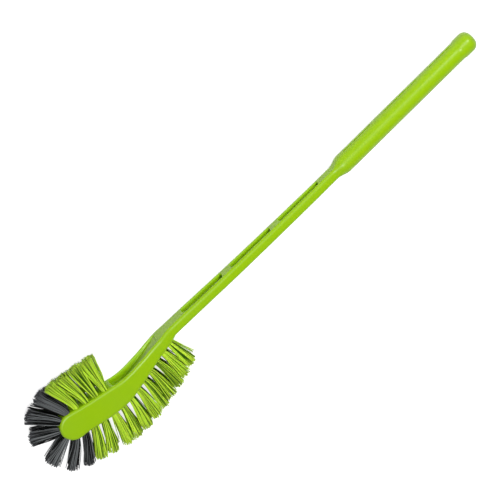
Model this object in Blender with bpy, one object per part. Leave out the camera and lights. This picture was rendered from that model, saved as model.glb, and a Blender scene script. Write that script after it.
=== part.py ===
"""Toilet brush with a hooked head, in metres, +Z up.

One lime plastic moulding is the head, the shaft and the grip. Two rows of bristle tufts
stand in blind holes along the head's edge, each held at its root by a flat wire anchor.
The brush lies on its side: X runs along the handle toward the end of the grip, Y points to
the hollow side of the hooked head, and Z is the width of the head.
"""
import bpy
import bmesh
from math import cos, exp, hypot, pi, radians, sin, sqrt
from mathutils import Matrix, Vector

OBJECT_NAME = "toilet_brush"

# Head, measured from its round end
HEAD_LENGTH = 0.1110
HEAD_WIDTH = 0.0165
HEAD_END_RADIUS = 0.0111
HEAD_END_RISE = 0.0006
HEAD_DROP = 0.0168
HEAD_HOLLOW = 0.0060
NECK_WIDTH = 0.0130

# The sides are crowned: how far their rounded edges reach across them, and how far down
HEAD_EDGE_RADIUS = 0.0026
SHAFT_EDGE_RADIUS = 0.0029
EDGE_DROP = 0.0018

# Where the head's two edges run, from the round end to the neck: shares of the head's
# length, then shares of the hollow (back edge) or of the drop (front edge)
BACK_EDGE_shares = [(0.205, 1.492), (0.285, 1.117), (0.365, 0.792), (0.445, 0.475),
                    (0.515, 0.183), (0.580, 0.092), (0.650, 0.142), (0.740, 0.270),
                    (0.815, 0.442), (0.885, 0.567), (0.946, 0.642)]
FRONT_EDGE_shares = [(0.165, 0.685), (0.260, 0.833), (0.325, 0.923), (0.390, 0.976),
                     (0.455, 1.000), (0.515, 0.964), (0.570, 0.881), (0.630, 0.798),
                     (0.715, 0.652), (0.775, 0.548), (0.835, 0.452), (0.900, 0.369),
                     (0.950, 0.333)]
HEAD_FULL_WIDTH_share = 0.89
FULL_ROUND_share = 0.97

# Shaft, deeper and narrower toward the grip, and how far the whole handle bows: shares of
# the way from the neck to the end, then shares of the bow
SHAFT_LENGTH = 0.1645
SHAFT_THICKNESS = 0.0082
SHAFT_TOP_THICKNESS = 0.0081
SHAFT_TOP_WIDTH = 0.0095
HANDLE_BOW = 0.0010
HANDLE_BOW_shares = [(0.0, 0.0), (0.095, -0.40), (0.193, -0.95), (0.307, -1.15),
                     (0.454, -1.05), (0.520, -0.78), (0.569, -0.62), (0.618, -0.52),
                     (0.683, -0.20), (0.749, 0.08), (0.879, 0.56), (1.0, 1.0)]

# Grip, a round bar with a narrow flat along its back, and its domed end knob
CONE_LENGTH = 0.0090
GRIP_LENGTH = 0.1174
GRIP_DIAMETER = 0.0150
GRIP_BACK_FLAT = 0.0014
KNOB_LENGTH = 0.0150
KNOB_DIAMETER = 0.0160
KNOB_STEP_LENGTH = 0.0007
KNOB_END_RADIUS = 0.0058

# Coring pockets in the flat back. The one in the neck gets shallow toward the shaft.
POCKET_WALL = 0.0029
POCKET_MOUTH_CHAMFER = 0.0006
POCKET_CORNER_RADIUS = 0.0015
HEAD_POCKET_START = 0.0510
HEAD_POCKET_LENGTH = 0.0470
HEAD_POCKET_DEPTHS = (0.0046, 0.0007)
HEAD_POCKET_SLOPE_share = 0.28
SHAFT_POCKET_START = 0.0142
SHAFT_POCKET_COUNT = 3
SHAFT_POCKET_PITCH = 0.0485
SHAFT_POCKET_BRIDGE = 0.0089
SHAFT_POCKET_DEPTH = 0.0034

# Slots in the back of the grip: where each starts and how long it is, as shares of the grip
GRIP_SLOT_shares = [(0.0545, 0.237), (0.409, 0.282), (0.800, 0.192)]
GRIP_SLOT_WIDTH = 0.0013
GRIP_SLOT_DEPTH = 0.0013

# Tuft holes, drilled square to the head's edge in two rows that follow its sides
HOLE_TO_SIDE = 0.0037
FRONT_TUFTS = 14
BACK_TUFTS = 7
DARK_TUFTS = (12, 17)
FRONT_PITCH = 0.0082
BACK_PITCH = 0.0081
HOLE_DIAMETER = 0.0048
HOLE_DEPTH = 0.0045
END_HOLE_DEPTH = 0.0036
END_HOLES = 2

# Tufts: a tight root in its hole, then strands that fan out to a domed trim
FIT_GAP = 0.0003
ROOT_STAND = 0.0009
TIP_SPACING = 0.0090
STRAND_START = 0.0004
FRONT_TUFT_LENGTH = 0.0290
BACK_TUFT_LENGTH = 0.0310
END_TUFT_LENGTH = 0.0240
END_TUFT_COUNT = 1.6
NECK_TUFT_LENGTH = 0.0255
NECK_TUFT_COUNT = 1.0
STRAND_RADIUS = 0.00045
STRAND_TIP_RADIUS = 0.00080
STRAND_RING = 0.00150
FRONT_FAN = 0.0034
END_FAN = 0.0043
BACK_FAN = 0.0043
FAN_ACROSS_ROW = 0.0029
TRIM_DOME = 0.0020
STRAND_RINGS = [(3, 0.40, 90.0), (8, 1.00, 22.5)]

# Which way the tufts lean, in degrees from the head's long axis: near the round end, far
# from it, and over how many tufts the lean changes
FRONT_LEAN = (26.0, 102.0)
FRONT_LEAN_COUNT = 6.5
BACK_LEAN = (25.0, 115.0)
BACK_LEAN_COUNT = 3.0

# Flat wire anchor across the root of each tuft
ANCHOR_LENGTH = 0.0054
ANCHOR_THICKNESS = 0.0006
ANCHOR_HEIGHT = 0.0016

# How finely the curves are divided, and how far a cutter runs past what it cuts
CORNER_STEPS = 5
END_STEPS = 9
HEAD_STEPS = 26
SHAFT_STEPS = 6
GRIP_STEPS = 5
POCKET_STEPS = 14
ROOT_SIDES = 12
OUTLINE_STEPS = 600
OVERRUN = 0.0020
SMOOTH_ANGLE = 35.0

# Places along the handle
SHAFT_START = HEAD_LENGTH
CONE_START = SHAFT_START + SHAFT_LENGTH
GRIP_START = CONE_START + CONE_LENGTH
KNOB_START = GRIP_START + GRIP_LENGTH
HANDLE_END = KNOB_START + KNOB_LENGTH

LIME = (0.35, 0.60, 0.010)
LIME_BRISTLE = (0.33, 0.58, 0.035)
CHARCOAL = (0.055, 0.058, 0.068)
PLASTIC_ROUGHNESS_share = 0.35
BRISTLE_ROUGHNESS_share = 0.50


def clear_scene():
    for item in list(bpy.data.objects):
        bpy.data.objects.remove(item, do_unlink=True)


def new_collection(name):
    collection = bpy.data.collections.new(name)
    bpy.context.scene.collection.children.link(collection)
    return collection


def new_material(name, colour, roughness):
    material = bpy.data.materials.new(name)
    material.use_nodes = True
    shader = material.node_tree.nodes["Principled BSDF"]
    shader.inputs["Base Color"].default_value = (*colour, 1.0)
    shader.inputs["Roughness"].default_value = roughness
    return material


def new_object(name, mesh_data, collection, material=None):
    """Turn a bmesh into an object in a collection."""
    mesh = bpy.data.meshes.new(name)
    mesh_data.to_mesh(mesh)
    mesh_data.free()
    item = bpy.data.objects.new(name, mesh)
    collection.objects.link(item)
    if material:
        mesh.materials.append(material)
    return item


def new_cutter(name, mesh_data, collection):
    cutter = new_object(name, mesh_data, collection)
    cutter.hide_render = True
    cutter.display_type = "WIRE"
    return cutter


def add_boolean(item, operation, other):
    modifier = item.modifiers.new(other.name, "BOOLEAN")
    modifier.operation = operation
    modifier.solver = "EXACT"
    modifier.object = other


def smooth_height(points, x):
    """Height at x of a smooth curve through (x, height) points, level at both its ends."""
    last = len(points) - 1
    k = 0
    while k < last - 1 and x > points[k + 1][0]:
        k += 1

    def slope(i):
        if i == 0 or i == last:
            return 0.0
        return (points[i + 1][1] - points[i - 1][1]) / (points[i + 1][0] - points[i - 1][0])

    span = points[k + 1][0] - points[k][0]
    t = min(max((x - points[k][0]) / span, 0.0), 1.0)
    start = (2 * t**3 - 3 * t**2 + 1) * points[k][1] + (t**3 - 2 * t**2 + t) * span * slope(k)
    end = (3 * t**2 - 2 * t**3) * points[k + 1][1] + (t**3 - t**2) * span * slope(k + 1)
    return start + end


def blend(a, b, share):
    return a + (b - a) * min(max(share, 0.0), 1.0)


def ease(share):
    share = min(max(share, 0.0), 1.0)
    return share * share * (3 - 2 * share)


def round_inset(distance, radius):
    """How far a rounded end draws in, at a distance from that end."""
    if distance >= radius:
        return 0.0
    return radius - sqrt(radius**2 - (radius - distance)**2)


def shaft_thickness(x):
    return blend(SHAFT_THICKNESS, SHAFT_TOP_THICKNESS, (x - SHAFT_START) / SHAFT_LENGTH)


def handle_bow(x):
    """Y of the middle of the handle at x."""
    length = HANDLE_END - HEAD_LENGTH
    return smooth_height([(HEAD_LENGTH + a * length, b * HANDLE_BOW)
                          for a, b in HANDLE_BOW_shares], x)


def back_height(x):
    """Y of the back edge of the head and shaft."""
    if x < HEAD_END_RADIUS:
        return HEAD_END_RISE + sqrt(HEAD_END_RADIUS**2 - (HEAD_END_RADIUS - x)**2)
    if x >= HEAD_LENGTH:
        return handle_bow(x) + shaft_thickness(x) / 2
    points = [(HEAD_END_RADIUS, HEAD_END_RISE + HEAD_END_RADIUS)]
    points += [(a * HEAD_LENGTH, b * HEAD_HOLLOW) for a, b in BACK_EDGE_shares]
    points += [(HEAD_LENGTH, SHAFT_THICKNESS / 2)]
    return smooth_height(points, x)


def front_height(x):
    """Y of the front edge of the head and shaft."""
    if x < HEAD_END_RADIUS:
        return HEAD_END_RISE - sqrt(HEAD_END_RADIUS**2 - (HEAD_END_RADIUS - x)**2)
    if x >= HEAD_LENGTH:
        return handle_bow(x) - shaft_thickness(x) / 2
    points = [(HEAD_END_RADIUS, HEAD_END_RISE - HEAD_END_RADIUS)]
    points += [(a * HEAD_LENGTH, -b * HEAD_DROP) for a, b in FRONT_EDGE_shares]
    points += [(HEAD_LENGTH, -SHAFT_THICKNESS / 2)]
    return smooth_height(points, x)


def width_at(x):
    """Width of the head and shaft, along Z."""
    full = HEAD_FULL_WIDTH_share * HEAD_LENGTH
    if x < HEAD_LENGTH:
        return blend(HEAD_WIDTH, NECK_WIDTH, ease((x - full) / (HEAD_LENGTH - full)))
    return blend(NECK_WIDTH, SHAFT_TOP_WIDTH, (x - SHAFT_START) / SHAFT_LENGTH)


def section(x, back, front, half_width, back_radius, front_radius, side_radius=None):
    """Ring of points round a bar at x: a box with rounded corners, flat to the back."""
    ring = []
    corners = [(1, 1, back_radius), (-1, 1, front_radius),
               (-1, -1, front_radius), (1, -1, back_radius)]
    for number, (up, side, radius) in enumerate(corners):
        across = min(side_radius or radius, half_width)
        for step in range(CORNER_STEPS + 1):
            turned = step if number % 2 == 0 else CORNER_STEPS - step
            angle = pi / 2 * turned / CORNER_STEPS
            y = (back - radius if up > 0 else front + radius) + up * radius * cos(angle)
            z = side * (half_width - across + across * sin(angle))
            ring.append(Vector((x, y, z)))
    return ring


def loft(rings):
    """Closed body through a list of rings that have the same number of points."""
    mesh_data = bmesh.new()
    loops = [[mesh_data.verts.new(point) for point in ring] for ring in rings]
    count = len(rings[0])
    for one, two in zip(loops, loops[1:]):
        for i in range(count):
            j = (i + 1) % count
            mesh_data.faces.new((one[i], one[j], two[j], two[i]))
    mesh_data.faces.new(list(reversed(loops[0])))
    mesh_data.faces.new(loops[-1])
    bmesh.ops.triangulate(mesh_data, faces=mesh_data.faces)
    return mesh_data


def head_rings():
    """Sections of the head: a round end, then the two shaped edges up to the neck."""
    rings = []
    for step in range(1, END_STEPS + 1):
        angle = pi / 2 * step / END_STEPS
        x = HEAD_END_RADIUS * (1 - cos(angle))
        radius = min(HEAD_EDGE_RADIUS / sin(angle), HEAD_END_RADIUS * sin(angle) * FULL_ROUND_share)
        inset = round_inset(x, HEAD_EDGE_RADIUS) / HEAD_EDGE_RADIUS * EDGE_DROP
        rings.append(section(x, back_height(x), front_height(x), HEAD_WIDTH / 2 - inset,
                             radius, radius, EDGE_DROP))
    for step in range(1, HEAD_STEPS + 1):
        x = blend(HEAD_END_RADIUS, HEAD_LENGTH, step / HEAD_STEPS)
        radius = blend(HEAD_EDGE_RADIUS, SHAFT_EDGE_RADIUS, step / HEAD_STEPS)
        rings.append(section(x, back_height(x), front_height(x), width_at(x) / 2,
                             radius, radius, EDGE_DROP))
    return rings


def grip_section(x, diameter):
    half = diameter / 2
    middle = handle_bow(x)
    back = half * (1 - GRIP_BACK_FLAT / GRIP_DIAMETER)
    return section(x, middle + half, middle - half, half, back, half * FULL_ROUND_share)


def handle_rings():
    """Sections of the shaft, the cone, the grip and the knob with its rounded end."""
    rings = []
    for step in range(1, SHAFT_STEPS + 1):
        x = blend(SHAFT_START, CONE_START, step / SHAFT_STEPS)
        rings.append(section(x, back_height(x), front_height(x), width_at(x) / 2,
                             SHAFT_EDGE_RADIUS, SHAFT_EDGE_RADIUS, EDGE_DROP))
    for step in range(GRIP_STEPS + 1):
        rings.append(grip_section(blend(GRIP_START, KNOB_START, step / GRIP_STEPS),
                                  GRIP_DIAMETER))
    rings.append(grip_section(KNOB_START + KNOB_STEP_LENGTH, KNOB_DIAMETER))
    for step in range(END_STEPS, -1, -1):
        distance = KNOB_END_RADIUS * (1 - cos(pi / 2 * step / END_STEPS))
        diameter = KNOB_DIAMETER - 2 * round_inset(distance, KNOB_END_RADIUS)
        rings.append(grip_section(HANDLE_END - distance, diameter))
    return rings


def pocket_cutter(name, start, length, depth_at, half_at, cutters):
    """Cutter for one pocket with rounded ends, which follows the back edge."""
    mesh_data = bmesh.new()
    loops = []
    for step in range(POCKET_STEPS + 1):
        share = (1 - cos(pi * step / POCKET_STEPS)) / 2
        x = start + length * share
        half = half_at(x)
        half -= round_inset(min(share, 1 - share) * length,
                            min(POCKET_CORNER_RADIUS, half * FULL_ROUND_share))
        top = back_top(x)
        low = top - depth_at(share)
        bend = top - min(POCKET_MOUTH_CHAMFER, depth_at(share) / 2)
        wide = half + top + OVERRUN - bend
        corners = [(low, -half), (bend, -half), (top + OVERRUN, -wide),
                   (top + OVERRUN, wide), (bend, half), (low, half)]
        loops.append([mesh_data.verts.new((x, y, z)) for y, z in corners])
    count = len(loops[0])
    for one, two in zip(loops, loops[1:]):
        for i in range(count):
            j = (i + 1) % count
            mesh_data.faces.new((one[i], one[j], two[j], two[i]))
    mesh_data.faces.new(list(reversed(loops[0])))
    mesh_data.faces.new(loops[-1])
    bmesh.ops.triangulate(mesh_data, faces=mesh_data.faces)
    return new_cutter(name, mesh_data, cutters)


def back_top(x):
    """Y of the back, on the grip too."""
    if x < CONE_START:
        return back_height(x)
    return handle_bow(x) + GRIP_DIAMETER / 2


def head_pocket_depth(share):
    """Depth at a share of the pocket's length: level at first, then rising."""
    slope = (share - HEAD_POCKET_SLOPE_share) / (1 - HEAD_POCKET_SLOPE_share)
    return blend(*HEAD_POCKET_DEPTHS, slope)


def shaft_pocket_depth(share):
    return SHAFT_POCKET_DEPTH


def grip_slot_depth(share):
    return GRIP_SLOT_DEPTH


def body_pocket_half(x):
    return width_at(x) / 2 - POCKET_WALL


def grip_slot_half(x):
    return GRIP_SLOT_WIDTH / 2


def pocket_cutters(cutters):
    found = [pocket_cutter("head_pocket", HEAD_POCKET_START, HEAD_POCKET_LENGTH,
                           head_pocket_depth, body_pocket_half, cutters)]
    for number in range(SHAFT_POCKET_COUNT):
        start = SHAFT_START + SHAFT_POCKET_START + number * SHAFT_POCKET_PITCH
        found.append(pocket_cutter(f"shaft_pocket_{number + 1}", start,
                                   SHAFT_POCKET_PITCH - SHAFT_POCKET_BRIDGE,
                                   shaft_pocket_depth, body_pocket_half, cutters))
    for number, (start, length) in enumerate(GRIP_SLOT_shares, 1):
        found.append(pocket_cutter(f"grip_slot_{number}", GRIP_START + start * GRIP_LENGTH,
                                   length * GRIP_LENGTH, grip_slot_depth, grip_slot_half,
                                   cutters))
    return found


def edge_outline(height_of):
    """Points along one edge of the head from the tip, and their distance along it."""
    points = [(0.0, HEAD_END_RISE)]
    for step in range(1, OUTLINE_STEPS + 1):
        share = step / OUTLINE_STEPS
        x = HEAD_LENGTH * share * share
        points.append((x, height_of(x)))
    lengths = [0.0]
    for one, two in zip(points, points[1:]):
        lengths.append(lengths[-1] + hypot(two[0] - one[0], two[1] - one[1]))
    return points, lengths


def on_outline(outline, distance):
    """Point and direction at a distance along an outline."""
    points, lengths = outline
    k = 0
    while k < len(points) - 2 and lengths[k + 1] < distance:
        k += 1
    share = (distance - lengths[k]) / (lengths[k + 1] - lengths[k])
    one = Vector((*points[k], 0.0))
    two = Vector((*points[k + 1], 0.0))
    return one.lerp(two, share), (two - one).normalized()


def tuft_length(order, side):
    """Tufts are shorter round the head's end, and at the neck on the front."""
    length = FRONT_TUFT_LENGTH if side < 0 else BACK_TUFT_LENGTH
    length -= (length - END_TUFT_LENGTH) * exp(-order / END_TUFT_COUNT)
    if side < 0:
        from_neck = FRONT_TUFTS - 1 - order
        length -= (FRONT_TUFT_LENGTH - NECK_TUFT_LENGTH) * exp(-from_neck / NECK_TUFT_COUNT)
    return length


def tuft_fan(order, side):
    """How far a tuft fans out along its row."""
    if side > 0:
        return BACK_FAN
    return FRONT_FAN + (END_FAN - FRONT_FAN) * exp(-order / END_TUFT_COUNT)


def tuft_places():
    """Where each tuft of a row stands, from the neck round the end to the back."""
    places = []
    sides = [(front_height, -1, FRONT_TUFTS, FRONT_PITCH, FRONT_LEAN, FRONT_LEAN_COUNT),
             (back_height, 1, BACK_TUFTS, BACK_PITCH, BACK_LEAN, BACK_LEAN_COUNT)]
    for height_of, side, count, pitch, (near, far), lean_count in sides:
        outline = edge_outline(height_of)
        found = []
        for order in range(count):
            foot, run = on_outline(outline, (order + 0.5) * pitch)
            normal = Vector((-run.y, run.x, 0.0)) * side
            turn = radians(far - (far - near) * exp(-(order + 0.5) / lean_count))
            heading = Vector((-cos(turn), side * sin(turn), 0.0))
            depth = END_HOLE_DEPTH if order < END_HOLES else HOLE_DEPTH
            found.append((foot, normal, heading, tuft_length(order, side),
                          tuft_fan(order, side), depth))
        places += reversed(found) if side < 0 else found
    return places


def in_row(foot, row, spacing):
    """A place on the mid-plane, moved out to its row."""
    side = 1 if row == "upper" else -1
    return foot + Vector((0.0, 0.0, side * spacing / 2))


def hole_spacing(foot):
    """Distance between the two rows of holes at a place along the head."""
    return width_at(foot.x) - 2 * HOLE_TO_SIDE


def frame_at(origin, along, up):
    """Matrix of a place whose Z axis is `up` and whose X axis lies in the row."""
    across = up.cross(along).normalized()
    along = across.cross(up).normalized()
    matrix = Matrix((along, across, up)).transposed().to_4x4()
    matrix.translation = origin
    return matrix


def add_cylinder(mesh_data, matrix, radius, low, high, sides):
    place = matrix @ Matrix.Translation((0.0, 0.0, (low + high) / 2))
    bmesh.ops.create_cone(mesh_data, cap_ends=True, segments=sides, radius1=radius,
                          radius2=radius, depth=high - low, matrix=place)


def add_bar(mesh_data, matrix, length, thickness, low, high):
    """Straight bar across the row."""
    size = Matrix.Diagonal((thickness, length, high - low, 1.0))
    place = matrix @ Matrix.Translation((0.0, 0.0, (low + high) / 2)) @ size
    bmesh.ops.create_cube(mesh_data, size=1.0, matrix=place)


def hole_cutters(places, cutters):
    """Blind holes for all tufts, and the cuts that their anchors bite in the walls."""
    holes = bmesh.new()
    slots = bmesh.new()
    for row in ("upper", "lower"):
        for foot, normal, _, _, _, depth in places:
            mouth = in_row(foot, row, hole_spacing(foot))
            matrix = frame_at(mouth, normal.cross(Vector((0.0, 0.0, 1.0))), normal)
            add_cylinder(holes, matrix, HOLE_DIAMETER / 2, -depth, OVERRUN, ROOT_SIDES)
            add_bar(slots, matrix, ANCHOR_LENGTH + 2 * FIT_GAP, ANCHOR_THICKNESS + 2 * FIT_GAP,
                    -depth - FIT_GAP, -depth + ANCHOR_HEIGHT + FIT_GAP)
    return [new_cutter("tuft_holes", holes, cutters), new_cutter("anchor_slots", slots, cutters)]


def build_body(places, parts, cutters, material):
    """The one-piece moulding: head, neck, shaft, grip and knob."""
    body = new_object("handle_and_head", loft(head_rings() + handle_rings()), parts, material)
    for cutter in pocket_cutters(cutters) + hole_cutters(places, cutters):
        add_boolean(body, "DIFFERENCE", cutter)
    body.data.shade_smooth()
    body.data.set_sharp_from_angle(angle=radians(SMOOTH_ANGLE))
    return body


def strand_ends(root, tip_frame, length, fan):
    """Start and end of each strand of a tuft, fanned out and trimmed to a dome."""
    ends = []
    for count, share, first in STRAND_RINGS:
        for number in range(count):
            angle = radians(first) + 2 * pi * number / count
            along = share * cos(angle)
            across = share * sin(angle)
            start = root @ Vector((along * STRAND_RING, across * STRAND_RING, STRAND_START))
            reach = length - TRIM_DOME * share
            end = tip_frame @ Vector((along * fan, across * FAN_ACROSS_ROW, reach))
            ends.append((start, end))
    return ends


def add_strand(mesh_data, start, end):
    """One tapered strand of three sides, standing on its start point."""
    reach = end - start
    turn = Vector((0.0, 0.0, 1.0)).rotation_difference(reach).to_matrix().to_4x4()
    place = Matrix.Translation((start + end) / 2) @ turn
    bmesh.ops.create_cone(mesh_data, cap_ends=True, segments=3, radius1=STRAND_RADIUS,
                          radius2=STRAND_TIP_RADIUS, depth=reach.length, matrix=place)


def build_tuft(name, place, row, parts, cutters, material):
    """A tuft: its root and anchor in the hole, and the strands that stand on the root."""
    foot, normal, heading, length, fan, depth = place
    up = Vector((0.0, 0.0, 1.0))
    root = frame_at(in_row(foot, row, hole_spacing(foot)), normal.cross(up), normal)
    tip_frame = frame_at(in_row(foot, row, TIP_SPACING), heading.cross(up), heading)
    root_mesh = bmesh.new()
    add_cylinder(root_mesh, root, HOLE_DIAMETER / 2 - FIT_GAP, -depth + FIT_GAP, ROOT_STAND,
                 ROOT_SIDES)
    tuft = new_object(name, root_mesh, parts, material)
    anchor_mesh = bmesh.new()
    add_bar(anchor_mesh, root, ANCHOR_LENGTH, ANCHOR_THICKNESS, -depth,
            -depth + ANCHOR_HEIGHT)
    add_boolean(tuft, "UNION", new_cutter(name + "_anchor", anchor_mesh, cutters))
    strand_mesh = bmesh.new()
    for start, end in strand_ends(root, tip_frame, length, fan):
        add_strand(strand_mesh, start, end)
    add_boolean(tuft, "UNION", new_cutter(name + "_strands", strand_mesh, cutters))
    return tuft


def rest_on_floor(parts):
    """Put the middle of the brush over the origin, with its lowest face at height zero."""
    bpy.context.view_layer.update()
    graph = bpy.context.evaluated_depsgraph_get()
    corners = [corner for item in parts.objects for corner in item.evaluated_get(graph).bound_box]
    low = [min(corner[axis] for corner in corners) for axis in range(3)]
    high = [max(corner[axis] for corner in corners) for axis in range(3)]
    pieces = list(bpy.data.objects)
    brush = bpy.data.objects.new("brush", None)
    parts.objects.link(brush)
    for item in pieces:
        item.parent = brush
    brush.location = (-(low[0] + high[0]) / 2, -(low[1] + high[1]) / 2, -low[2])


def main():
    clear_scene()
    parts = new_collection(OBJECT_NAME)
    cutters = new_collection("cutters")
    plastic = new_material("lime_plastic", LIME, PLASTIC_ROUGHNESS_share)
    bristle = new_material("lime_bristle", LIME_BRISTLE, BRISTLE_ROUGHNESS_share)
    dark_bristle = new_material("charcoal_bristle", CHARCOAL, BRISTLE_ROUGHNESS_share)
    places = tuft_places()
    build_body(places, parts, cutters, plastic)
    for row in ("upper", "lower"):
        for number, place in enumerate(places, 1):
            dark = DARK_TUFTS[0] <= number <= DARK_TUFTS[1]
            build_tuft(f"tuft_{row}_{number:02d}", place, row, parts, cutters,
                       dark_bristle if dark else bristle)
    rest_on_floor(parts)


main()
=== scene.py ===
"""Looks of a lime toilet brush: one glossy moulding and two rows of real filament tufts."""
import random
from math import cos, exp, hypot, pi, radians, sin, sqrt

import bmesh
import bpy
from mathutils import Matrix, Vector


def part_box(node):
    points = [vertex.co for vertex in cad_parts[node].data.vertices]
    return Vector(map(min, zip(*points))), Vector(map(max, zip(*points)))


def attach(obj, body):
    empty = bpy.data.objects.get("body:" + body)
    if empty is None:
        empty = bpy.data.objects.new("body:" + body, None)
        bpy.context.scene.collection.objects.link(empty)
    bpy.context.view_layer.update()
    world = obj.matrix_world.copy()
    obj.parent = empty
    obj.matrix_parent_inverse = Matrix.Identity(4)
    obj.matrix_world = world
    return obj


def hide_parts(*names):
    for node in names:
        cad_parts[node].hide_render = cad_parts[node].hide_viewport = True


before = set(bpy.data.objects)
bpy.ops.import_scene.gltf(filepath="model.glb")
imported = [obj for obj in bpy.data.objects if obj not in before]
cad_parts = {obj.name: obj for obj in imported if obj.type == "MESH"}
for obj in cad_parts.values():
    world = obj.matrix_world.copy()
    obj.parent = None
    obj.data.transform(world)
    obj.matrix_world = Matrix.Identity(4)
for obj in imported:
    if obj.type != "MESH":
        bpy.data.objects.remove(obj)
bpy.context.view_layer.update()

# The moulding: head, neck, shaft, grip and knob, shot in one piece of polypropylene.
# The back is flat and cored out with pockets, so that the walls cool evenly. Nothing is
# fixed to it but the tufts.
HEAD_LENGTH = 0.1110
HEAD_WIDTH = 0.0165
HEAD_END_RADIUS = 0.0111
HEAD_END_RISE = 0.0006
HEAD_DROP = 0.0168
HEAD_HOLLOW = 0.0060
NECK_WIDTH = 0.0130
HEAD_EDGE_RADIUS = 0.0026
SHAFT_EDGE_RADIUS = 0.0029
EDGE_DROP = 0.0018
# (share of the head's length, share of HEAD_HOLLOW or HEAD_DROP) along each edge
BACK_EDGE_shares = [(0.205, 1.492), (0.285, 1.117), (0.365, 0.792), (0.445, 0.475),
                    (0.515, 0.183), (0.580, 0.092), (0.650, 0.142), (0.740, 0.270),
                    (0.815, 0.442), (0.885, 0.567), (0.946, 0.642)]
FRONT_EDGE_shares = [(0.165, 0.685), (0.260, 0.833), (0.325, 0.923), (0.390, 0.976),
                     (0.455, 1.000), (0.515, 0.964), (0.570, 0.881), (0.630, 0.798),
                     (0.715, 0.652), (0.775, 0.548), (0.835, 0.452), (0.900, 0.369),
                     (0.950, 0.333)]
HEAD_FULL_WIDTH_share = 0.89
SHAFT_LENGTH = 0.1645
SHAFT_THICKNESS = 0.0082
SHAFT_TOP_THICKNESS = 0.0081
SHAFT_TOP_WIDTH = 0.0095
HANDLE_BOW = 0.0010
# (share of the handle's length, share of HANDLE_BOW) along its middle line
HANDLE_BOW_shares = [(0.0, 0.0), (0.095, -0.40), (0.193, -0.95), (0.307, -1.15),
                     (0.454, -1.05), (0.520, -0.78), (0.569, -0.62), (0.618, -0.52),
                     (0.683, -0.20), (0.749, 0.08), (0.879, 0.56), (1.0, 1.0)]
CONE_LENGTH = 0.0090
GRIP_LENGTH = 0.1174
GRIP_DIAMETER = 0.0150
GRIP_BACK_FLAT = 0.0014
KNOB_LENGTH = 0.0150
KNOB_DIAMETER = 0.0160
KNOB_STEP_LENGTH = 0.0030
KNOB_STEP_shares = (0.0, 0.25, 0.5, 0.75, 1.0)
KNOB_END_RADIUS = 0.0058
SHAFT_START = HEAD_LENGTH
CONE_START = SHAFT_START + SHAFT_LENGTH
GRIP_START = CONE_START + CONE_LENGTH
KNOB_START = GRIP_START + GRIP_LENGTH
HANDLE_END = KNOB_START + KNOB_LENGTH

POCKET_WALL = 0.0029
POCKET_RIM_RADIUS = 0.0008
POCKET_FLOOR_RADIUS = 0.0007
POCKET_DRAFT = 0.00015
POCKET_CORNER_RADIUS = 0.0015
POCKET_CORNER_shares = (0.6, 0.8, 1.0)
POCKET_EDGE_STEPS = 3
# Two points on a rounded edge of a pocket, as shares of its radius
EDGE_ARC_shares = (0.13, 0.5)
# Start and length of the head's pocket, and its depth at either end
HEAD_POCKET = (0.0510, 0.0470)
HEAD_POCKET_DEPTHS = (0.0046, 0.0007)
HEAD_POCKET_SLOPE_share = 0.28
SHAFT_POCKETS = 3
# Start and length of the first of the shaft's pockets
SHAFT_POCKET = (SHAFT_START + 0.0142, 0.0396)
SHAFT_POCKET_PITCH = 0.0485
SHAFT_POCKET_DEPTH = 0.0034

CORNER_STEPS = 9
END_STEPS = 20
BODY_STEP = 0.0018
MERGE_DISTANCE = 0.00001

# Where the sizes are measured from: the head's end, on the handle's middle line
body_low, body_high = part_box("handle_and_head")
brush_origin = Vector((body_high.x - HANDLE_END,
                       body_high.y - HEAD_END_RISE - HEAD_END_RADIUS,
                       (body_low.z + body_high.z) / 2))


def ease(share):
    """A share with a soft start and end."""
    share = min(max(share, 0.0), 1.0)
    return share * share * (3 - 2 * share)


def blend(a, b, share):
    """The value at a share of the way from a to b."""
    return a + (b - a) * min(max(share, 0.0), 1.0)


def round_inset(distance, radius):
    """How far a rounded end draws in, at a distance from that end."""
    if distance >= radius:
        return 0.0
    return radius - sqrt(max(radius**2 - (radius - distance)**2, 0.0))


def smooth_height(points, x):
    """Height at x of a smooth curve through (x, height) points, level at both its ends."""
    last = len(points) - 1
    k = 0
    while k < last - 1 and x > points[k + 1][0]:
        k += 1

    def slope(i):
        if i == 0 or i == last:
            return 0.0
        return (points[i + 1][1] - points[i - 1][1]) / (points[i + 1][0] - points[i - 1][0])

    span = points[k + 1][0] - points[k][0]
    t = min(max((x - points[k][0]) / span, 0.0), 1.0)
    start = (2 * t**3 - 3 * t**2 + 1) * points[k][1] + (t**3 - 2 * t**2 + t) * span * slope(k)
    end = (3 * t**2 - 2 * t**3) * points[k + 1][1] + (t**3 - t**2) * span * slope(k + 1)
    return start + end


def handle_bow(x):
    """Y of the middle of the handle at x."""
    length = HANDLE_END - HEAD_LENGTH
    return smooth_height([(HEAD_LENGTH + a * length, b * HANDLE_BOW)
                          for a, b in HANDLE_BOW_shares], x)


def shaft_thickness(x):
    return blend(SHAFT_THICKNESS, SHAFT_TOP_THICKNESS, (x - SHAFT_START) / SHAFT_LENGTH)


def back_height(x):
    """Y of the back edge of the head and shaft."""
    if x < HEAD_END_RADIUS:
        return HEAD_END_RISE + sqrt(HEAD_END_RADIUS**2 - (HEAD_END_RADIUS - x)**2)
    if x >= HEAD_LENGTH:
        return handle_bow(x) + shaft_thickness(x) / 2
    points = [(HEAD_END_RADIUS, HEAD_END_RISE + HEAD_END_RADIUS)]
    points += [(a * HEAD_LENGTH, b * HEAD_HOLLOW) for a, b in BACK_EDGE_shares]
    points += [(HEAD_LENGTH, SHAFT_THICKNESS / 2)]
    return smooth_height(points, x)


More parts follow.
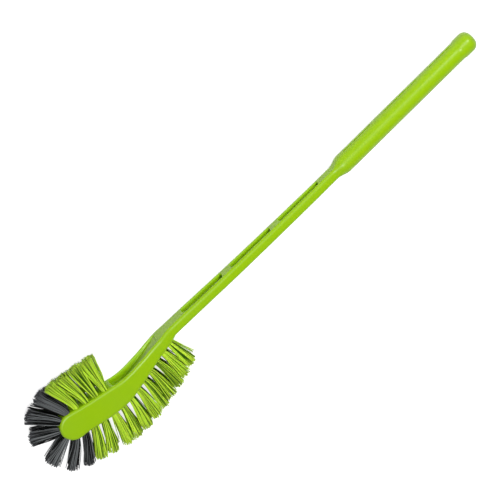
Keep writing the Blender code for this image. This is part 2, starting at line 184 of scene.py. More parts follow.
def front_height(x):
    """Y of the front edge of the head and shaft."""
    if x < HEAD_END_RADIUS:
        return HEAD_END_RISE - sqrt(HEAD_END_RADIUS**2 - (HEAD_END_RADIUS - x)**2)
    if x >= HEAD_LENGTH:
        return handle_bow(x) - shaft_thickness(x) / 2
    points = [(HEAD_END_RADIUS, HEAD_END_RISE - HEAD_END_RADIUS)]
    points += [(a * HEAD_LENGTH, -b * HEAD_DROP) for a, b in FRONT_EDGE_shares]
    points += [(HEAD_LENGTH, -SHAFT_THICKNESS / 2)]
    return smooth_height(points, x)


def width_at(x):
    """Width of the head and shaft, along Z."""
    full = HEAD_FULL_WIDTH_share * HEAD_LENGTH
    if x < HEAD_LENGTH:
        return blend(HEAD_WIDTH, NECK_WIDTH, ease((x - full) / (HEAD_LENGTH - full)))
    return blend(NECK_WIDTH, SHAFT_TOP_WIDTH, (x - SHAFT_START) / SHAFT_LENGTH)


def grip_shape(x, diameter):
    """Back and front height, half width and corner radii of the round grip."""
    half = diameter / 2
    middle = handle_bow(x)
    back = half * (1 - GRIP_BACK_FLAT / GRIP_DIAMETER)
    return middle + half, middle - half, half, back, back, half, half


def shape_at(x):
    """Back, front, half width, back radius along Y and Z, front radius along Y and Z."""
    if x < HEAD_END_RADIUS:
        rise = sqrt(HEAD_END_RADIUS**2 - (HEAD_END_RADIUS - x)**2)
        radius = min(HEAD_EDGE_RADIUS * HEAD_END_RADIUS / rise, rise)
        half = HEAD_WIDTH / 2 - round_inset(x, HEAD_EDGE_RADIUS) / HEAD_EDGE_RADIUS * EDGE_DROP
        return (HEAD_END_RISE + rise, HEAD_END_RISE - rise, half,
                radius, EDGE_DROP, radius, EDGE_DROP)
    if x <= CONE_START:
        radius = blend(HEAD_EDGE_RADIUS, SHAFT_EDGE_RADIUS, x / HEAD_LENGTH)
        return (back_height(x), front_height(x), width_at(x) / 2,
                radius, EDGE_DROP, radius, EDGE_DROP)
    if x < GRIP_START:
        # The cone opens in a line that is half straight and half eased
        share = (x - CONE_START) / CONE_LENGTH
        share = (share + ease(share)) / 2
        low = shape_at(CONE_START)
        return tuple(blend(a, b, share) for a, b in zip(low, grip_shape(x, GRIP_DIAMETER)))
    if x <= KNOB_START:
        return grip_shape(x, GRIP_DIAMETER)
    diameter = blend(GRIP_DIAMETER, KNOB_DIAMETER, ease((x - KNOB_START) / KNOB_STEP_LENGTH))
    diameter -= 2 * round_inset(HANDLE_END - x, KNOB_END_RADIUS)
    return grip_shape(x, diameter)


def head_pocket_depth(share):
    """Depth at a share of the pocket's length: level at first, then rising."""
    slope = (share - HEAD_POCKET_SLOPE_share) / (1 - HEAD_POCKET_SLOPE_share)
    return blend(*HEAD_POCKET_DEPTHS, slope)


def shaft_pocket_depth(share):
    """The same depth at every share of the pocket's length."""
    return SHAFT_POCKET_DEPTH


pockets = [(*HEAD_POCKET, head_pocket_depth)]
pockets += [(SHAFT_POCKET[0] + number * SHAFT_POCKET_PITCH, SHAFT_POCKET[1], shaft_pocket_depth)
            for number in range(SHAFT_POCKETS)]


def pocket_end(depth):
    """(distance inside the end, depth there) over the rim, down the wall, to the floor."""
    rim = min(POCKET_RIM_RADIUS, depth / 2) / 2
    low = min(POCKET_FLOOR_RADIUS, depth / 2)
    angles = [pi / 2 * step / POCKET_EDGE_STEPS for step in range(POCKET_EDGE_STEPS + 1)]
    steps = [(rim * (sin(angle) - 1), rim * (1 - cos(angle))) for angle in angles]
    steps += [(POCKET_DRAFT + low * (1 - cos(angle)), depth - low * (1 - sin(angle)))
              for angle in angles]
    steps += [(share * POCKET_CORNER_RADIUS, depth) for share in POCKET_CORNER_shares]
    return steps


def pocket_half(inside, shape):
    """Half the width of a pocket that far inside its end, where the body has that shape."""
    wide = shape[2] - POCKET_WALL
    return wide - round_inset(max(inside, 0.0), min(POCKET_CORNER_RADIUS, wide))


def stations():
    """(x, depth of the pocket, distance inside its end) of every section, in order."""
    found = []
    end = 2 * POCKET_CORNER_RADIUS
    for start, length, depth_at in pockets:
        found += [(start + inside, deep, inside) for inside, deep in pocket_end(depth_at(0.0))]
        found += [(start + length - inside, deep, inside)
                  for inside, deep in pocket_end(depth_at(1.0))]
        count = int((length - 2 * end) / BODY_STEP)
        for step in range(1, count):
            inside = end + (length - 2 * end) * step / count
            deep = depth_at(inside / length)
            found.append((start + inside, deep, min(inside, length - inside)))
    spans = [(start - BODY_STEP / 2, start + length + BODY_STEP / 2)
             for start, length, depth_at in pockets]
    plain = [HEAD_END_RADIUS * (1 - cos(pi / 2 * step / END_STEPS))
             for step in range(1, END_STEPS)]
    x = HEAD_END_RADIUS
    while x < KNOB_START - BODY_STEP:
        plain.append(x)
        x += BODY_STEP
    plain += [KNOB_START + KNOB_STEP_LENGTH * share for share in KNOB_STEP_shares]
    middle = (KNOB_START + KNOB_STEP_LENGTH + HANDLE_END - KNOB_END_RADIUS) / 2
    plain.append(middle)
    plain += [HANDLE_END - KNOB_END_RADIUS * (1 - cos(pi / 2 * step / END_STEPS))
              for step in range(END_STEPS, -1, -1)]
    for x in plain:
        if not any(low < x < high for low, high in spans):
            found.append((x, 0.0, 0.0))
    return sorted(found, key=lambda station: station[0])


def half_section(x, deep, inside):
    """(y, z) points from the middle of the back, over one side, to the middle of the front."""
    shape = shape_at(x)
    back, front, half, back_y, back_z, front_y, front_z = shape
    flat = half - back_z
    rim = min(POCKET_RIM_RADIUS, deep / 2)
    low = min(POCKET_FLOOR_RADIUS, deep / 2)
    wide = max(pocket_half(inside, shape), 2 * low)
    top = wide + POCKET_DRAFT
    near, far = EDGE_ARC_shares
    levels = [(0.0, deep), ((wide - low) / 2, deep), (wide - low, deep),
              (wide - low * far, deep - low * near), (wide - low * near, deep - low * far),
              (wide, deep - low), (top, rim), (top + rim * near, rim * far),
              (top + rim * far, rim * near), (top + rim, 0.0)]
    points = []
    for z, depth in levels:
        depth = max(min(depth, deep), 0.0)
        points.append((back - depth, min(z, flat)))
    for step in range(CORNER_STEPS + 1):
        angle = pi / 2 * step / CORNER_STEPS
        points.append((back - back_y + back_y * cos(angle),
                       half - back_z + back_z * sin(angle)))
    for step in range(CORNER_STEPS + 1):
        angle = pi / 2 * (1 - step / CORNER_STEPS)
        points.append((front + front_y - front_y * cos(angle),
                       half - front_z + front_z * sin(angle)))
    points.append((front, 0.0))
    return points


def moulding_mesh():
    """The whole moulding as a skin over its sections, before it is drilled."""
    mesh_data = bmesh.new()
    loops = []
    for x, deep, inside in stations():
        side = half_section(x, deep, inside)
        ring = side + [(y, -z) for y, z in reversed(side[1:-1])]
        loops.append([mesh_data.verts.new(brush_origin + Vector((x, y, z))) for y, z in ring])
    count = len(loops[0])
    for one, two in zip(loops, loops[1:]):
        for i in range(count):
            j = (i + 1) % count
            mesh_data.faces.new((one[i], one[j], two[j], two[i]))
    mesh_data.faces.new(loops[0])
    mesh_data.faces.new(loops[-1])
    bmesh.ops.remove_doubles(mesh_data, verts=mesh_data.verts, dist=MERGE_DISTANCE)
    bmesh.ops.dissolve_degenerate(mesh_data, edges=mesh_data.edges, dist=MERGE_DISTANCE)
    bmesh.ops.recalc_face_normals(mesh_data, faces=mesh_data.faces)
    return mesh_data


def new_piece(name, mesh_data, material):
    """A finished mesh as a piece of the scene."""
    mesh = bpy.data.meshes.new(name)
    mesh_data.to_mesh(mesh)
    mesh_data.free()
    piece = bpy.data.objects.new(name, mesh)
    bpy.context.scene.collection.objects.link(piece)
    mesh.materials.append(material)
    return piece


def new_nodes(name):
    """A new material, with a function that adds a node and sets some of its sockets."""
    material = bpy.data.materials.new(name)
    material.use_nodes = True
    tree = material.node_tree

    def add(kind, **values):
        node = tree.nodes.new(kind)
        for key, value in values.items():
            if key in node.inputs:
                node.inputs[key].default_value = value
            else:
                setattr(node, key, value)
        return node

    return material, tree, add


def new_range(add, levels, values):
    """A node that turns a value between two levels into one between two others."""
    node = add("ShaderNodeMapRange")
    for name, value in zip(("From Min", "From Max", "To Min", "To Max"), (*levels, *values)):
        node.inputs[name].default_value = value
    return node


# Which sockets of a mix node carry its share, its two colours and the mixed one
MIX_SHARE, MIX_FIRST, MIX_SECOND, MIX_RESULT = 0, 6, 7, 2

# Colours of the moulding, and how its skin takes light
LIME = (0.350, 0.600, 0.001, 1.0)
LIME_DEEP = (0.315, 0.560, 0.001, 1.0)
LIME_GLOW_REACH = (0.8, 1.0, 0.15)
MOULDING_SHINE = 0.42
MOULDING_IOR = 1.49
MOULDING_GLOW = 0.25
MOULDING_GLOW_DEPTH = 0.0030
MOULDING_ROUGHNESS = (0.31, 0.40)
CLOUD_SCALE = 38.0
CLOUD_LEVELS = (0.35, 0.70)
GRAIN_SCALE = 900.0
GRAIN_STRENGTH = 0.08
GRAIN_HEIGHT = 0.0002


def moulded_plastic():
    """Lime polypropylene: light soaks in a little, and the moulded skin is a soft gloss."""
    material, tree, add = new_nodes("lime_moulding")
    shader = tree.nodes["Principled BSDF"]
    shader.inputs["Specular IOR Level"].default_value = MOULDING_SHINE
    shader.inputs["IOR"].default_value = MOULDING_IOR
    shader.inputs["Subsurface Weight"].default_value = MOULDING_GLOW
    shader.inputs["Subsurface Radius"].default_value = LIME_GLOW_REACH
    shader.inputs["Subsurface Scale"].default_value = MOULDING_GLOW_DEPTH
    place = add("ShaderNodeTexCoord")
    clouds = add("ShaderNodeTexNoise", Scale=CLOUD_SCALE, Detail=4.0, Roughness=0.6)
    colour = add("ShaderNodeMix", data_type="RGBA")
    colour.inputs[MIX_FIRST].default_value = LIME
    colour.inputs[MIX_SECOND].default_value = LIME_DEEP
    gloss = new_range(add, CLOUD_LEVELS, MOULDING_ROUGHNESS)
    grain = add("ShaderNodeTexNoise", Scale=GRAIN_SCALE, Detail=3.0, Roughness=0.55)
    ripple = add("ShaderNodeBump", Strength=GRAIN_STRENGTH, Distance=GRAIN_HEIGHT)
    link = tree.links.new
    link(place.outputs["Object"], clouds.inputs["Vector"])
    link(place.outputs["Object"], grain.inputs["Vector"])
    link(clouds.outputs["Fac"], colour.inputs[MIX_SHARE])
    link(clouds.outputs["Fac"], gloss.inputs["Value"])
    link(colour.outputs[MIX_RESULT], shader.inputs["Base Color"])
    link(gloss.outputs["Result"], shader.inputs["Roughness"])
    link(grain.outputs["Fac"], ripple.inputs["Height"])
    link(ripple.outputs["Normal"], shader.inputs["Normal"])
    return material


# Cuts in the moulding: the tuft holes, drilled square to the head's edge in two rows, and
# three narrow slots along the back of the grip.
ROW_SIDES = {"upper": 1, "lower": -1}
# Start and length of each slot, as shares of the grip's length
GRIP_SLOT_shares = [(0.0545, 0.237), (0.409, 0.282), (0.800, 0.192)]
GRIP_SLOT_WIDTH = 0.0013
GRIP_SLOT_DEPTH = 0.0013
GRIP_SLOT_END_STEPS = 6
HOLE_TO_SIDE = 0.0037
HOLE_DIAMETER = 0.0048
HOLE_DEPTH = 0.0045
END_HOLE_DEPTH = 0.0036
END_HOLES = 2
HOLE_SIDES = 28
DRILL_PROUD = 0.001
MOULDING_CREASE = radians(38.0)
FRONT_TUFTS = 14
BACK_TUFTS = 7
FRONT_PITCH = 0.0082
BACK_PITCH = 0.0081
FRONT_TUFT_LENGTH = 0.0290
BACK_TUFT_LENGTH = 0.0310
END_TUFT_LENGTH = 0.0240
END_TUFT_COUNT = 1.6
NECK_TUFT_LENGTH = 0.0255
NECK_TUFT_COUNT = 1.0
# Which way the tufts lean, in degrees from the head's long axis: near the round end and far
# from it, and over how many tufts the lean changes
FRONT_LEAN = (26.0, 102.0)
FRONT_LEAN_COUNT = 6.5
BACK_LEAN = (25.0, 115.0)
BACK_LEAN_COUNT = 3.0
OUTLINE_STEPS = 600


def edge_outline(height_of):
    """Points along one edge of the head from the tip, and their distance along it."""
    points = [(0.0, HEAD_END_RISE)]
    for step in range(1, OUTLINE_STEPS + 1):
        x = HEAD_LENGTH * (step / OUTLINE_STEPS)**2
        points.append((x, height_of(x)))
    lengths = [0.0]
    for one, two in zip(points, points[1:]):
        lengths.append(lengths[-1] + hypot(two[0] - one[0], two[1] - one[1]))
    return points, lengths


def on_outline(outline, distance):
    """Point and direction at a distance along an outline."""
    points, lengths = outline
    k = 0
    while k < len(points) - 2 and lengths[k + 1] < distance:
        k += 1
    share = (distance - lengths[k]) / (lengths[k + 1] - lengths[k])
    one = Vector((*points[k], 0.0))
    two = Vector((*points[k + 1], 0.0))
    return one.lerp(two, share), (two - one).normalized()


def tuft_length(order, side):
    """Tufts are shorter round the head's end, and at the neck on the front."""
    length = FRONT_TUFT_LENGTH if side < 0 else BACK_TUFT_LENGTH
    length -= (length - END_TUFT_LENGTH) * exp(-order / END_TUFT_COUNT)
    if side < 0:
        from_neck = FRONT_TUFTS - 1 - order
        length -= (FRONT_TUFT_LENGTH - NECK_TUFT_LENGTH) * exp(-from_neck / NECK_TUFT_COUNT)
    return length


def tuft_places():
    """Where each tuft of a row stands, from the neck round the end to the back."""
    places = []
    sides = [(front_height, -1, FRONT_TUFTS, FRONT_PITCH, FRONT_LEAN, FRONT_LEAN_COUNT),
             (back_height, 1, BACK_TUFTS, BACK_PITCH, BACK_LEAN, BACK_LEAN_COUNT)]
    for height_of, side, count, pitch, (near, far), lean_count in sides:
        outline = edge_outline(height_of)
        found = []
        for order in range(count):
            foot, run = on_outline(outline, (order + 0.5) * pitch)
            normal = Vector((-run.y, run.x, 0.0)) * side
            turn = radians(far - (far - near) * exp(-(order + 0.5) / lean_count))
            heading = Vector((-cos(turn), side * sin(turn), 0.0))
            depth = END_HOLE_DEPTH if order < END_HOLES else HOLE_DEPTH
            found.append((foot, normal, heading, tuft_length(order, side), depth))
        places += reversed(found) if side < 0 else found
    return places


def row_height(foot, row):
    """Z of a row of holes at a place along the head."""
    return ROW_SIDES[row] * (width_at(foot.x) / 2 - HOLE_TO_SIDE)


def frame_at(origin, up):
    """Matrix of a place whose Z axis is `up` and whose Y axis runs across the rows."""
    across = Vector((0.0, 0.0, 1.0))
    along = across.cross(up).normalized()
    across = up.cross(along).normalized()
    matrix = Matrix((along, across, up)).transposed().to_4x4()
    matrix.translation = origin
    return matrix


def add_hole(drill, place, row):
    """The drill of one tuft's hole, square to the head's edge and a little proud of it."""
    foot, normal, _, _, depth = place
    mouth = brush_origin + foot + Vector((0.0, 0.0, row_height(foot, row)))
    matrix = frame_at(mouth, normal) @ Matrix.Translation((0.0, 0.0, DRILL_PROUD - depth / 2))
    bmesh.ops.create_cone(drill, cap_ends=True, segments=HOLE_SIDES,
                          radius1=HOLE_DIAMETER / 2, radius2=HOLE_DIAMETER / 2,
                          depth=depth + 2 * DRILL_PROUD, matrix=matrix)


def add_grip_slot(drill, first, share):
    """The cutter of one slot along the back of the grip, round at both its ends."""
    outline = []
    for end in (0, 1):
        for step in range(GRIP_SLOT_END_STEPS + 1):
            angle = pi * (end + step / GRIP_SLOT_END_STEPS) + pi / 2
            x = GRIP_START + GRIP_LENGTH * (first + share * end)
            x += GRIP_SLOT_WIDTH / 2 * (cos(angle) + (1 - 2 * end))
            outline.append((x, GRIP_SLOT_WIDTH / 2 * sin(angle)))
    rings = []
    for x, z in outline:
        top = handle_bow(x) + GRIP_DIAMETER / 2
        rings.append([drill.verts.new(brush_origin + Vector((x, top + rise, z)))
                      for rise in (-GRIP_SLOT_DEPTH, GRIP_SLOT_DEPTH)])
    count = len(rings)
    walls = [drill.faces.new((rings[i][0], rings[(i + 1) % count][0],
                              rings[(i + 1) % count][1], rings[i][1])) for i in range(count)]
    walls += [drill.faces.new([ring[level] for ring in rings]) for level in (0, 1)]
    bmesh.ops.recalc_face_normals(drill, faces=walls)


places = tuft_places()
lime_plastic = moulded_plastic()
moulding = new_piece("moulding", moulding_mesh(), lime_plastic)

drill = bmesh.new()
for row in ROW_SIDES:
    for place in places:
        add_hole(drill, place, row)
for first, share in GRIP_SLOT_shares:
    add_grip_slot(drill, first, share)
drilled = new_piece("drill", drill, lime_plastic)
holes = moulding.modifiers.new("holes", "BOOLEAN")
holes.operation = "DIFFERENCE"
holes.solver = "EXACT"
holes.object = drilled


def apply_modifiers(piece):
    """Make what the modifiers do to a piece a part of its mesh."""
    graph = bpy.context.evaluated_depsgraph_get()
    finished = bpy.data.meshes.new_from_object(piece.evaluated_get(graph))
    piece.modifiers.clear()
    piece.data = finished


apply_modifiers(moulding)
bpy.data.objects.remove(drilled)
moulding.data.shade_smooth()
moulding.data.set_sharp_from_angle(angle=MOULDING_CREASE)
weights = moulding.modifiers.new("weighted", "WEIGHTED_NORMAL")
weights.keep_sharp = True
apply_modifiers(moulding)
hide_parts("handle_and_head")
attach(moulding, "root")

# The tufts: straight plastic filaments, folded double over a flat wire anchor and driven
# into the holes. They fan out above the hole and are trimmed to a dome. The tufts round the
# tip are charcoal, the rest lime.
DARK_TUFTS = (12, 17)
ROW_SEEDS = {"upper": 100, "lower": 200}
FILAMENTS = 70
FILAMENT_RADIUS = 0.00028
FILAMENT_SIDES = 5
FILAMENT_STATIONS = 9
FILAMENT_CREASE = radians(75.0)
# A direction that no filament runs along, to set the corners of its tube from
TUBE_GUIDE = Vector((0.31, 0.17, 0.93))
PACKED_RADIUS = 0.00205
FRONT_FAN = 0.0049
TIP_FAN = 0.0066
BACK_FAN = 0.0058
CROWDING = 0.60
WIDE_TUFTS = (14, 17)
FAN_ACROSS_ROW = 0.0037
TIP_ROW_HEIGHT = 0.0045
TRIM_DOME = 0.0014
TRIM_SCATTER = 0.0017
TIP_SCATTER = 0.00045
BOW_SCATTER = 0.0006
STRAY_share = 0.05
STRAY_REACH = 0.0016
TURN_SCATTER = 0.15
# Where a filament starts in its hole, how far it runs out straight and where it bends over
FOLD_share = 0.5
STRAIGHT_share = 0.16
BEND_share = 0.62
# How much further each tuft leans to the tip than the smooth turn round the head, in degrees
TUFT_LEAN = (-2.0, -2.0, -4.0, -2.0, -2.0, -1.0, 0.0, -1.0, -4.0, 0.0, -2.0, -3.0, 1.0, 14.0,
             5.5, 4.0, 0.0, 2.5, 7.0, 5.0, 3.0)
LEAN_SCATTER = 0.8
# The same for the far row, on top of the near row's lean
FAR_LEAN = (-3.5,) * 11 + (-7.0,) * 3 + (3.5, -1.0) + (-5.0,) * 5
FAR_LENGTH_share = 0.86
NEAR_SPLAY_share = 0.12
DARK_SPLAY_share = 0.62
FAR_SPLAY_share = 0.80
CLUMPS = 15
CLUMPING = 0.45
# How many clumps are darkened with painted shade, and what a strand's painted shade owes to its
# clump and to itself
PAINTED_SHADE_LIME_share = 0.44
PAINTED_SHADE_CHARCOAL_share = 0.82
CLUMP_PAINTED_SHADE = 0.6
STRAND_PAINTED_SHADE = 0.4
GOLDEN_TURN = pi * (3 - sqrt(5))
ROOM_TO_FLOOR = 0.0004
# Each filament colour comes as a lit copy and a dark copy. The dark copy is painted shade for
# the shadow between strands and tufts. The lime's lit copy is painted brighter than the
# moulding's lime to make up for that shade.
LIME_STRAND = (0.650, 0.985, 0.060, 1.0)
LIME_STRAND_PAINTED_SHADE = (0.040, 0.140, 0.001, 1.0)
LIME_STRAND_TIP = (0.420, 0.600, 0.060, 1.0)
CHARCOAL_STRAND = (0.194, 0.207, 0.212, 1.0)
CHARCOAL_STRAND_PAINTED_SHADE = (0.003, 0.003, 0.003, 1.0)
CHARCOAL_STRAND_TIP = (0.085, 0.088, 0.096, 1.0)
LIME_STRAND_SHINE = 0.26
LIME_STRAND_GLOW = 0.25
CHARCOAL_STRAND_SHINE = 0.08
CHARCOAL_STRAND_GLOW = 0.0
STRAND_ROUGHNESS = 0.38
STRAND_GLOW_DEPTH = 0.0010
# Levels of a strand's painted shade between which its colour goes from the lit copy to the
# painted-shade copy
PAINTED_SHADE_LEVELS = (0.30, 0.80)
CUT_END_LEVELS = (0.80, 1.0)
CUT_END_share = 0.6


def bristle_plastic(name, light, dark, tip, shine, glow):
    """Extruded filament: clumps of strands in a lit colour or darkened with painted shade,
    duller at their cut ends.
    """
    material, tree, add = new_nodes(name)
    shader = tree.nodes["Principled BSDF"]
    shader.inputs["Roughness"].default_value = STRAND_ROUGHNESS
    shader.inputs["Specular IOR Level"].default_value = shine
    shader.inputs["Subsurface Weight"].default_value = glow
    shader.inputs["Subsurface Radius"].default_value = LIME_GLOW_REACH
    shader.inputs["Subsurface Scale"].default_value = STRAND_GLOW_DEPTH
    # Each strand's painted shade: a share of the dark copy of its colour, standing in for the
    # shadow between strands
    strand = add("ShaderNodeAttribute", attribute_name="painted_shade")
    along = add("ShaderNodeAttribute", attribute_name="along")
    shade = add("ShaderNodeMix", data_type="RGBA")
    shade.inputs[MIX_FIRST].default_value = light
    shade.inputs[MIX_SECOND].default_value = dark
    dim = new_range(add, PAINTED_SHADE_LEVELS, (0.0, 1.0))
    end = new_range(add, CUT_END_LEVELS, (0.0, CUT_END_share))
    cut = add("ShaderNodeMix", data_type="RGBA")
    cut.inputs[MIX_SECOND].default_value = tip
    link = tree.links.new
    link(strand.outputs["Fac"], dim.inputs["Value"])
    link(dim.outputs["Result"], shade.inputs[MIX_SHARE])
    link(along.outputs["Fac"], end.inputs["Value"])
    link(end.outputs["Result"], cut.inputs[MIX_SHARE])
    link(shade.outputs[MIX_RESULT], cut.inputs[MIX_FIRST])
    link(cut.outputs[MIX_RESULT], shader.inputs["Base Color"])
    return material


lime_bristle = bristle_plastic("lime_filament", LIME_STRAND, LIME_STRAND_PAINTED_SHADE, LIME_STRAND_TIP,
                               LIME_STRAND_SHINE, LIME_STRAND_GLOW)
charcoal_bristle = bristle_plastic("charcoal_filament", CHARCOAL_STRAND, CHARCOAL_STRAND_PAINTED_SHADE,
                                   CHARCOAL_STRAND_TIP, CHARCOAL_STRAND_SHINE,
                                   CHARCOAL_STRAND_GLOW)


def bezier(points, t):
    """The point at t, from 0 to 1, of a curve drawn by four points."""
    a, b, c, d = points
    s = 1 - t
    return a * s**3 + b * (3 * s * s * t) + c * (3 * s * t * t) + d * t**3


def fan_of(number):
    """How far a tuft fans out along its row: most at the tip, least on the bulging side."""
    if number < WIDE_TUFTS[0]:
        return FRONT_FAN
    return TIP_FAN if number <= WIDE_TUFTS[1] else BACK_FAN


def lean_of(number, row):
    """Degrees that a tuft leans further to the tip than the smooth turn round the head."""
    return TUFT_LEAN[number - 1] + (FAR_LEAN[number - 1] if row == "lower" else 0.0)


def splay_of(number, row):
    """How early a tuft spreads along its row, as a share of its fan."""
    if row == "lower" and number > FRONT_TUFTS:
        return FAR_SPLAY_share
    return DARK_SPLAY_share if FRONT_TUFTS < number <= DARK_TUFTS[1] else NEAR_SPLAY_share


def pick_painted_shade_clumps(painted_shade_share, draw):
    """Which clumps of a tuft get painted shade, never two side by side; the first entry is no
    clump.
    """
    painted_shade_clumps = [False]
    for clump in range(CLUMPS):
        painted_shade_clumps.append(not painted_shade_clumps[-1] and draw.random() < painted_shade_share)
    return painted_shade_clumps


def filament_paths(place, row, fan, lean, splay, painted_shade_share, draw):
    """Points along each filament of a tuft, from its hole to its cut end, and its painted
    shade.
    """
    foot, normal, heading, length, depth = place
    root = frame_at(foot + Vector((0.0, 0.0, row_height(foot, row))), normal)
    turn = radians(lean + draw.gauss(0.0, LEAN_SCATTER)) * (1 if heading.y > 0 else -1)
    heading = Matrix.Rotation(turn, 3, "Z") @ heading
    if row == "lower" and heading.y > 0:
        length *= FAR_LENGTH_share
    tip_frame = frame_at(foot + Vector((0.0, 0.0, ROW_SIDES[row] * TIP_ROW_HEIGHT)), heading)
    most = HEAD_WIDTH / 2 - ROOM_TO_FLOOR
    painted_shade_clumps = pick_painted_shade_clumps(painted_shade_share, draw)
    paths = []
    for number in range(FILAMENTS):
        share = ((number + 0.5) / FILAMENTS)**CROWDING
        angle = number * GOLDEN_TURN + draw.uniform(-TURN_SCATTER, TURN_SCATTER)
        along = share * cos(angle)
        across = share * sin(angle)
        clump = min(int((along + 1) / 2 * CLUMPS), CLUMPS - 1)
        gathered = blend(along, (clump + 0.5) / CLUMPS * 2 - 1, CLUMPING)
        # Painted shade: how far a strand is darkened, from its clump and at random, standing in
        # for the shadow between strands
        painted_shade = CLUMP_PAINTED_SHADE * painted_shade_clumps[clump + 1] + draw.uniform(0.0, STRAND_PAINTED_SHADE)
        scatter = TIP_SCATTER
        if draw.random() < STRAY_share:
            scatter = STRAY_REACH
        reach = length - TRIM_DOME * share**2 - draw.uniform(0.0, TRIM_SCATTER)
        tip = tip_frame @ Vector((gathered * fan + draw.gauss(0.0, scatter),
                                  across * FAN_ACROSS_ROW + draw.gauss(0.0, scatter), reach))
        tip.z = min(max(tip.z, -most), most)
        start = root @ Vector((along * PACKED_RADIUS, across * PACKED_RADIUS,
                               -depth * FOLD_share))
        mouth = root @ Vector((along * PACKED_RADIUS, across * PACKED_RADIUS, 0.0))
        bow = Vector((draw.gauss(0.0, BOW_SCATTER), draw.gauss(0.0, BOW_SCATTER), 0.0))
        wide = tip_frame.to_3x3() @ Vector((along * fan * splay, 0.0, 0.0))
        curve = (start, mouth + normal * length * STRAIGHT_share + wide,
                 mouth.lerp(tip, BEND_share) + bow, tip)
        path = []
        for step in range(FILAMENT_STATIONS):
            point = bezier(curve, step / (FILAMENT_STATIONS - 1))
            point.z = min(max(point.z, -most), most)
            path.append(brush_origin + point)
        paths.append((path, painted_shade))
    return paths


def tuft_mesh(name, paths, material):
    """All filaments of a tuft as one mesh of thin closed tubes."""
    corners = [2 * pi * side / FILAMENT_SIDES for side in range(FILAMENT_SIDES)]
    points = []
    faces = []
    along = []
    painted_shade_values = []
    for path, painted_shade in paths:
        first = len(points)
        for number, centre in enumerate(path):
            before = path[max(number - 1, 0)]
            after = path[min(number + 1, len(path) - 1)]
            run = (after - before).normalized()
            one = run.cross(TUBE_GUIDE).normalized()
            two = run.cross(one)
            for corner in corners:
                offset = one * cos(corner) + two * sin(corner)
                points.append(centre + offset * FILAMENT_RADIUS)
                along.append(number / (len(path) - 1))
                painted_shade_values.append(painted_shade)
        for ring in range(len(path) - 1):
            low = first + ring * FILAMENT_SIDES
            high = low + FILAMENT_SIDES
            for i in range(FILAMENT_SIDES):
                j = (i + 1) % FILAMENT_SIDES
                faces.append((low + i, low + j, high + j, high + i))
        last = first + (len(path) - 1) * FILAMENT_SIDES
        faces.append(tuple(range(first + FILAMENT_SIDES - 1, first - 1, -1)))
        faces.append(tuple(range(last, last + FILAMENT_SIDES)))
    mesh = bpy.data.meshes.new(name)
    mesh.from_pydata(points, [], faces)
    # Each strand's painted shade goes to the mesh as an attribute, beside how far along the
    # strand each point lies
    for layer_name, values in (("along", along), ("painted_shade", painted_shade_values)):
        layer = mesh.attributes.new(layer_name, "FLOAT", "POINT")
        layer.data.foreach_set("value", values)
    mesh.shade_smooth()
    mesh.set_sharp_from_angle(angle=FILAMENT_CREASE)
    mesh.materials.append(material)
    piece = bpy.data.objects.new(name, mesh)
    bpy.context.scene.collection.objects.link(piece)
    return piece


for row, seed in ROW_SEEDS.items():
    for number, place in enumerate(places, 1):
        dark = DARK_TUFTS[0] <= number <= DARK_TUFTS[1]
        # How many clumps of this tuft get painted shade for the shadow between strands
        painted_shade_share = PAINTED_SHADE_CHARCOAL_share if dark else PAINTED_SHADE_LIME_share
        paths = filament_paths(place, row, fan_of(number), lean_of(number, row),
                               splay_of(number, row), painted_shade_share, random.Random(number + seed))
        tuft = tuft_mesh(f"bristles_{row}_{number:02d}", paths,
                         charcoal_bristle if dark else lime_bristle)
        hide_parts(f"tuft_{row}_{number:02d}")
        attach(tuft, "root")

# The floor and a round wall behind it: plain, pale, and white to the camera. They take the
# brush's shadow and throw some light back on its sides.
FLOOR_RADIUS = 5.0
FLOOR_SIDES = 96
WALL_HEIGHT = 3.0
FLOOR_COLOUR = (0.56, 0.56, 0.56, 1.0)
FLOOR_GLOW = 0.78


def studio_white():
    """Matt white whose glow shows to the camera and in reflections, but lights nothing."""
    material, tree, add = new_nodes("studio_white")
    tree.nodes.remove(tree.nodes["Principled BSDF"])
    matt = add("ShaderNodeBsdfDiffuse", Color=FLOOR_COLOUR)
    glow = add("ShaderNodeEmission", Strength=FLOOR_GLOW)
    both = add("ShaderNodeAddShader")
    ray = add("ShaderNodeLightPath")
    seen = add("ShaderNodeMath", operation="MAXIMUM")
    seen_through = add("ShaderNodeMath", operation="MAXIMUM")
    choose = add("ShaderNodeMixShader")
    link = tree.links.new
    link(ray.outputs["Is Camera Ray"], seen.inputs[0])
    link(ray.outputs["Is Glossy Ray"], seen.inputs[1])
    link(seen.outputs[0], seen_through.inputs[0])
    link(ray.outputs["Is Transmission Ray"], seen_through.inputs[1])
    link(matt.outputs[0], both.inputs[0])
    link(glow.outputs[0], both.inputs[1])
    link(seen_through.outputs[0], choose.inputs[0])
    link(matt.outputs[0], choose.inputs[1])
    link(both.outputs[0], choose.inputs[2])
    link(choose.outputs[0], tree.nodes["Material Output"].inputs["Surface"])
    return material


floor_mesh = bmesh.new()
bmesh.ops.create_circle(floor_mesh, cap_ends=True, segments=FLOOR_SIDES, radius=FLOOR_RADIUS)
rim = [edge for edge in floor_mesh.edges if edge.is_boundary]
raised = bmesh.ops.extrude_edge_only(floor_mesh, edges=rim)["geom"]
wall_top = [item for item in raised if isinstance(item, bmesh.types.BMVert)]
bmesh.ops.translate(floor_mesh, vec=(0.0, 0.0, WALL_HEIGHT), verts=wall_top)
floor = new_piece("floor", floor_mesh, studio_white())

# The camera sees the brush turned about its handle, with the handle rising to the right.
# It stands far off, so that the brush looks the same size all along. NECK_PIXEL is where the
# picture shows the point NECK_X along the handle's middle line.
IMAGE_PIXELS = 500
PIXEL_SIZE = 0.00073
NECK_PIXEL = (168.0, 331.0)
NECK_X = 0.1081
HANDLE_TURN = radians(28.0)
HANDLE_RISE = radians(43.87)
CAMERA_DISTANCE = 2.2
SENSOR_WIDTH = 36.0

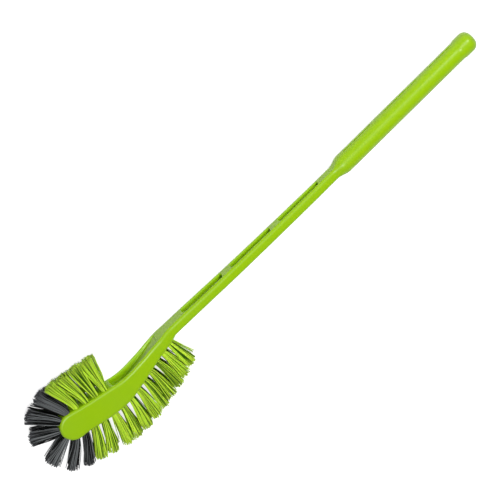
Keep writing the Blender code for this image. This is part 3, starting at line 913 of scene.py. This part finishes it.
along_handle = Vector((1.0, 0.0, 0.0))
toward_back = Vector((0.0, cos(HANDLE_TURN), -sin(HANDLE_TURN)))
right = along_handle * cos(HANDLE_RISE) - toward_back * sin(HANDLE_RISE)
upward = along_handle * sin(HANDLE_RISE) + toward_back * cos(HANDLE_RISE)
toward_camera = right.cross(upward)
neck = brush_origin + Vector((NECK_X, 0.0, 0.0))
image_middle = IMAGE_PIXELS / 2
target = (neck + right * (image_middle - NECK_PIXEL[0]) * PIXEL_SIZE
          + upward * (NECK_PIXEL[1] - image_middle) * PIXEL_SIZE)
camera_data = bpy.data.cameras.new("camera")
camera_data.sensor_width = SENSOR_WIDTH
camera_data.lens = camera_data.sensor_width * CAMERA_DISTANCE / (IMAGE_PIXELS * PIXEL_SIZE)
camera = bpy.data.objects.new("camera", camera_data)
bpy.context.scene.collection.objects.link(camera)
camera.matrix_world = Matrix.Translation(target + toward_camera * CAMERA_DISTANCE) @ Matrix(
    (right, upward, toward_camera)).transposed().to_4x4()
bpy.context.scene.camera = camera

# Studio light: a soft box below the camera, a weaker one over the grip, and a dim white room.
# Each lamp has a name, a size, a direction from the picture's middle to the right, upward and
# to the camera, a distance and a power.
ROOM_WHITE = (1.0, 1.0, 1.0, 1.0)
ROOM_LIGHT = 0.09
LIGHTS = [("key", 0.5, (0.0, -0.44, 1.0), 1.7, 16.6),
          ("grip", 0.22, (0.45, 0.39, 1.0), 0.9, 4.4)]

world = bpy.data.worlds.new("room")
bpy.context.scene.world = world
world.use_nodes = True
world.node_tree.nodes["Background"].inputs["Color"].default_value = ROOM_WHITE
world.node_tree.nodes["Background"].inputs["Strength"].default_value = ROOM_LIGHT
for name, size, (x, y, z), distance, power in LIGHTS:
    lamp = bpy.data.lights.new(name, "AREA")
    lamp.shape = "SQUARE"
    lamp.size = size
    lamp.energy = power
    light = bpy.data.objects.new(name, lamp)
    bpy.context.scene.collection.objects.link(light)
    direction = (right * x + upward * y + toward_camera * z).normalized()
    light.location = target + direction * distance
    light.rotation_mode = "QUATERNION"
    light.rotation_quaternion = (-direction).to_track_quat("-Z", "Y")

bpy.context.scene.view_settings.view_transform = "Standard"
